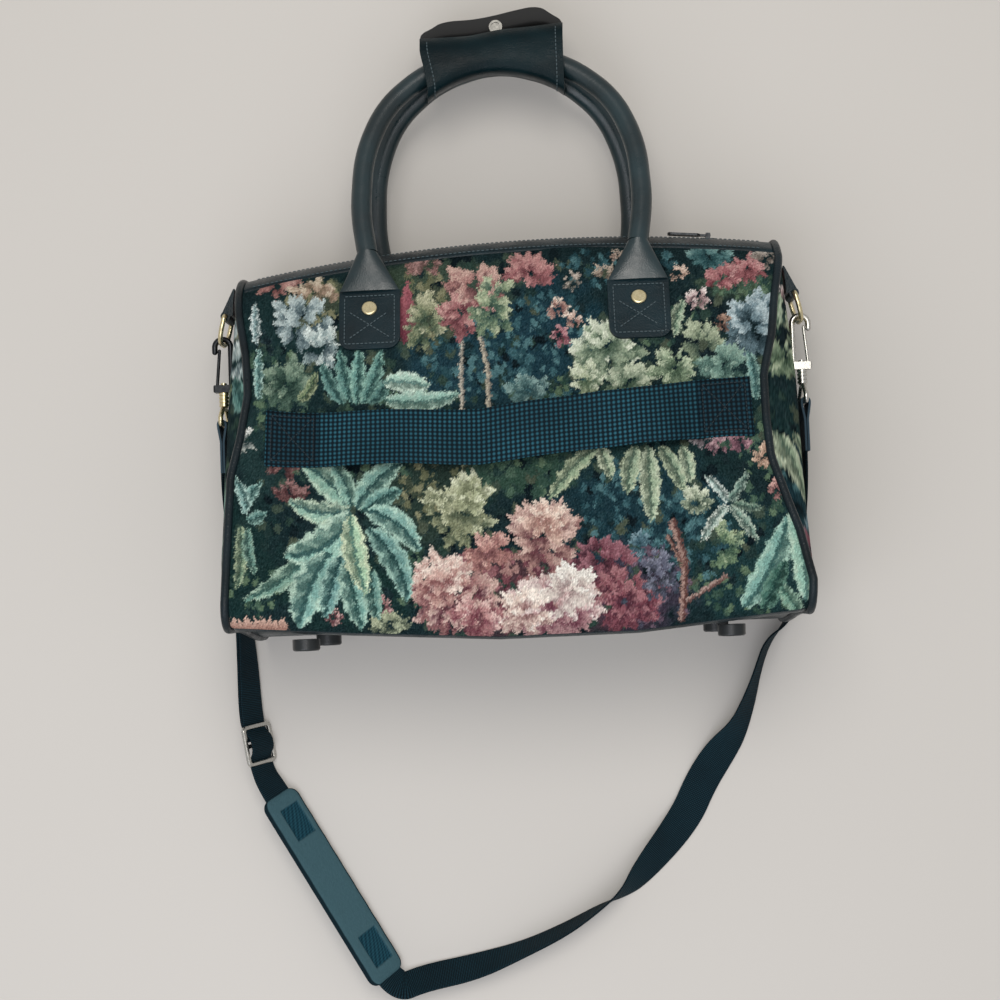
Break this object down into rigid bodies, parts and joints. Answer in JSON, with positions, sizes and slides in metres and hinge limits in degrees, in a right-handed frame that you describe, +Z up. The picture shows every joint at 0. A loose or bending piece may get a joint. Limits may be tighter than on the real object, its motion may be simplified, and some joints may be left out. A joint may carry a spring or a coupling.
{
  "type": "carpet bag",
  "caption": "Small tapestry duffel with leather trim, rolled handles held by a snapped wrap, a trolley sleeve and a clip-on shoulder strap.",
  "frame": {"origin": "on the surface that the bag lies on, below the middle of the whole bag without its strap", "axes": "+X along the zip, +Y from the feet to the handles, +Z up, out of the back of the bag as it lies on its front"},
  "size_m": [0.4436, 0.7388, 0.188],
  "materials": {
    "tapestry": "woven",
    "leather": "soft, lightly polished",
    "lining": "plain",
    "board": "matt",
    "zip_tape": "woven",
    "zip_coil": "satin",
    "hardware": "pale gold plating",
    "webbing": "woven",
    "pad": "matt"
  },
  "bodies": {
    "bag": {"near_panel": "tapestry", "far_panel": "tapestry", "left_end_panel": "tapestry", "right_end_panel": "tapestry", "base_panel": "leather", "zip_band_near": "leather", "zip_band_far": "leather", "left_piping": "leather", "right_piping": "leather", "tab_near_left": "leather", "tab_near_right": "leather", "tab_far_left": "leather", "tab_far_right": "leather", "near_handle": "leather", "far_handle": "leather", "handle_wrap": "leather", "left_ring_tab": "leather", "right_ring_tab": "leather", "lining": "lining", "base_board": "board", "zip_tape": "zip_tape", "zip_coil": "zip_coil", "foot_far_left": "hardware", "foot_far_right": "hardware", "foot_near_left": "hardware", "foot_near_right": "hardware", "near_rivets": "hardware", "far_rivets": "hardware", "snap_cap": "hardware", "snap_stud": "hardware", "strap_adjuster": "hardware", "trolley_sleeve": "webbing", "shoulder_strap": "webbing", "strap_pad": "pad"},
    "slider": {"zip_slider": "hardware"},
    "pull": {"zip_pull": "hardware"},
    "left_ring": {"left_ring": "hardware"},
    "left_clip": {"left_eye": "hardware", "left_strap_end": "webbing"},
    "left_hook": {"left_hook": "hardware"},
    "left_gate": {"left_gate": "hardware"},
    "right_ring": {"right_ring": "hardware"},
    "right_clip": {"right_eye": "hardware", "right_strap_end": "webbing"},
    "right_hook": {"right_hook": "hardware"},
    "right_gate": {"right_gate": "hardware"}
  },
  "joints": [
    {"name": "zip_travel", "type": "hinge", "parent": "bag", "child": "slider", "pos_m": [0.042, -1.19352, 0.0565], "axis": [0, 0, 1], "range_deg": [-1, 14.4]},
    {"name": "pull_flip", "type": "hinge", "parent": "slider", "child": "pull", "pos_m": [0.15037, 0.06111, 0.0565], "axis": [0, 0, 1], "range_deg": [-165, 0]},
    {"name": "left_clip_swing", "type": "hinge", "parent": "bag", "child": "left_clip", "pos_m": [-0.209, 0.01148, 0.07], "axis": [0, 0, -1], "range_deg": [0, 40]},
    {"name": "left_ring_swing", "type": "hinge", "parent": "bag", "child": "left_ring", "pos_m": [-0.209, 0.01148, 0.07], "axis": [0, 0, -1], "range_deg": [0, 40]},
    {"name": "left_hook_swivel", "type": "hinge", "parent": "left_clip", "child": "left_hook", "pos_m": [-0.21384, -0.04183, 0.07], "axis": [0, 1, 0], "range_deg": [-25, 25]},
    {"name": "left_gate_spring", "type": "hinge", "parent": "left_hook", "child": "left_gate", "pos_m": [-0.21874, -0.04023, 0.07], "axis": [0, 0, -1], "range_deg": [0, 10], "stiffness_Nm_per_rad": 0.01, "springref_deg": -2.86},
    {"name": "right_clip_swing", "type": "hinge", "parent": "bag", "child": "right_clip", "pos_m": [0.209, 0.01148, 0.07], "axis": [0, 0, 1], "range_deg": [0, 40]},
    {"name": "right_ring_swing", "type": "hinge", "parent": "bag", "child": "right_ring", "pos_m": [0.209, 0.01148, 0.07], "axis": [0, 0, 1], "range_deg": [0, 40]},
    {"name": "right_hook_swivel", "type": "hinge", "parent": "right_clip", "child": "right_hook", "pos_m": [0.21384, -0.04183, 0.07], "axis": [0, 1, 0], "range_deg": [-25, 25]},
    {"name": "right_gate_spring", "type": "hinge", "parent": "right_hook", "child": "right_gate", "pos_m": [0.21874, -0.04023, 0.07], "axis": [0, 0, 1], "range_deg": [0, 10], "stiffness_Nm_per_rad": 0.01, "springref_deg": -2.86}
  ],
  "couplings": [
    {"joint": "left_ring_swing", "follows": "left_clip_swing", "ratio": 1},
    {"joint": "right_ring_swing", "follows": "right_clip_swing", "ratio": 1}
  ]
}
